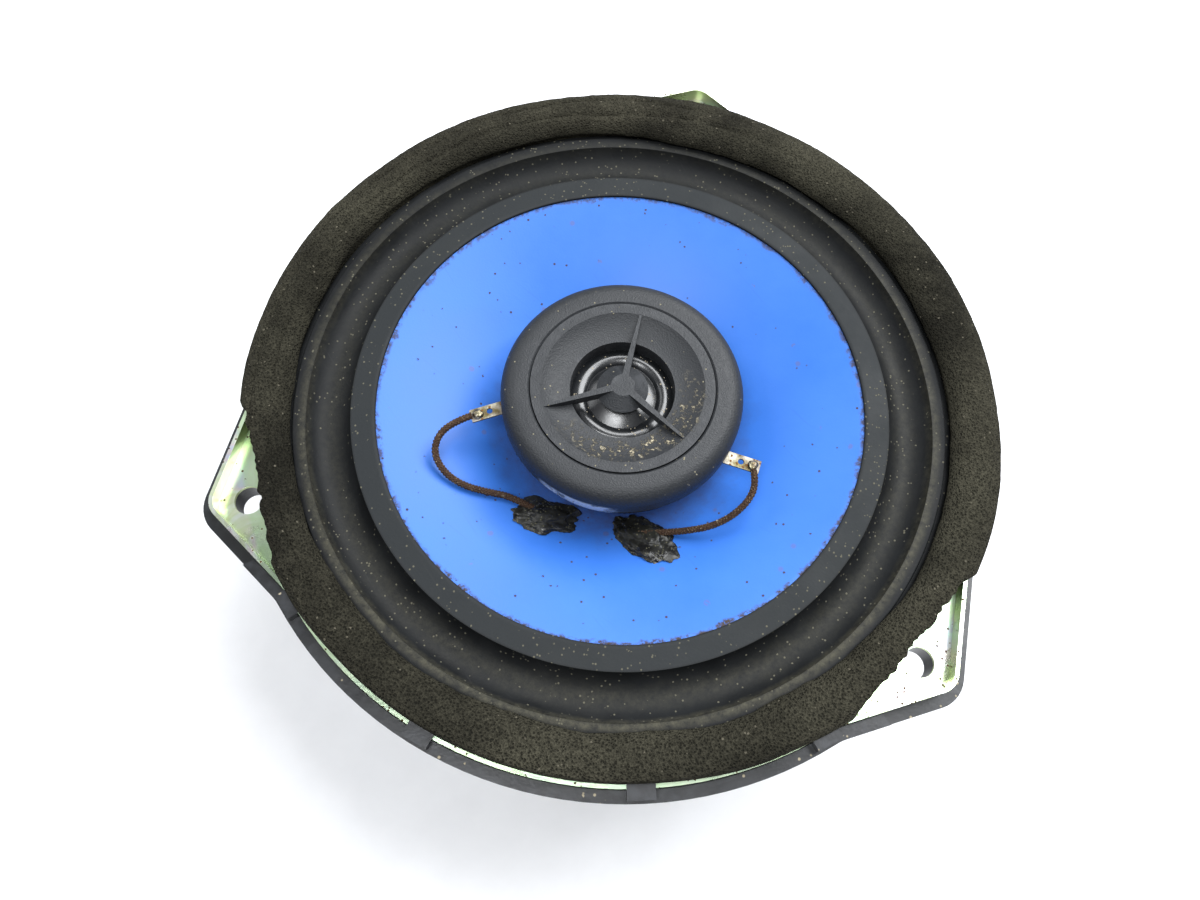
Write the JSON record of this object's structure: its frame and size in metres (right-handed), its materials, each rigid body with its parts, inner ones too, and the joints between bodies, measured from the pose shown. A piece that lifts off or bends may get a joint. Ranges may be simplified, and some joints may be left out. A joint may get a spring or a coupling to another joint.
{
  "type": "coaxial car speaker",
  "caption": "Two-way coaxial car loudspeaker with a blue cone, a tweeter on a post in front of it, a steel basket with mounting ears, a plastic spacer ring and a foam gasket.",
  "frame": {"origin": "centre of the mounting face, the rear face of the plastic spacer ring", "axes": "+Z towards the listener, along the speaker's axis; +Y through one mounting ear"},
  "size_m": [0.1576, 0.1661, 0.0644],
  "materials": {
    "zinc_steel": "yellow zinc plated, iridescent",
    "bright_steel": "plain zinc plated",
    "spacer_plastic": "black satin moulded plastic",
    "foam": "dark grey olive open cell foam",
    "rubber_edge": "dark grey rubber",
    "blue_cone": "bright blue satin polypropylene",
    "spider_cloth": "resin stiffened cotton",
    "bobbin": "thin aluminium",
    "copper_wire": "enamelled copper winding",
    "ferrite": "dark grey sintered ferrite",
    "neodymium": "nickel plated magnet",
    "post_plastic": "black glass filled plastic",
    "tweeter_plastic": "charcoal fine textured plastic",
    "tweeter_shell": "glossy black plastic",
    "diaphragm_film": "glossy black film",
    "tinned_brass": "tinned, stained yellow brown",
    "solder": "dull solder",
    "lead_braid": "dirty copper brown braid",
    "glue": "rough black glue",
    "board": "brown phenolic board",
    "capacitor_sleeve": "dark sleeve"
  },
  "bodies": {
    "chassis": {"basket": "zinc_steel", "spacer_ring": "spacer_plastic", "foam_gasket": "foam", "front_plate": "bright_steel", "ferrite_magnet": "ferrite", "yoke": "bright_steel", "basket_rivets": "bright_steel", "post_screw": "bright_steel", "tweeter_post": "post_plastic", "terminal_board": "board", "terminal_positive": "tinned_brass", "terminal_negative": "tinned_brass", "board_rivets": "tinned_brass", "terminal_rivets": "tinned_brass", "tweeter_housing": "tweeter_shell", "tweeter_bezel": "tweeter_plastic", "tweeter_faceplate": "tweeter_plastic", "tweeter_pot": "bright_steel", "tweeter_magnet": "neodymium", "tweeter_pole_washer": "bright_steel", "tweeter_carrier": "post_plastic", "tweeter_capacitor": "capacitor_sleeve", "solder_tab_left": "tinned_brass", "solder_joint_left": "solder", "tweeter_lead_left": "lead_braid", "solder_tab_right": "tinned_brass", "solder_joint_right": "solder", "tweeter_lead_right": "lead_braid"},
    "woofer_cone": {"cone": "blue_cone", "surround": "rubber_edge", "spider": "spider_cloth", "voice_coil_former": "bobbin", "voice_coil": "copper_wire", "lead_anchor_left": "glue", "lead_anchor_right": "glue"},
    "tweeter_diaphragm": {"tweeter_dome": "diaphragm_film", "tweeter_coil": "copper_wire", "tweeter_surround": "diaphragm_film"}
  },
  "joints": [
    {"name": "cone_travel", "type": "slide", "parent": "chassis", "child": "woofer_cone", "axis": [0, 0, 1], "range_m": [-0.004, 0.004], "stiffness_N_per_m": 1500, "deforming": ["surround", "spider", "tweeter_lead_left", "tweeter_lead_right"]},
    {"name": "tweeter_travel", "type": "slide", "parent": "chassis", "child": "tweeter_diaphragm", "axis": [0, 0, 1], "range_m": [-0.0003, 0.0003], "stiffness_N_per_m": 60, "deforming": ["tweeter_surround"]}
  ]
}
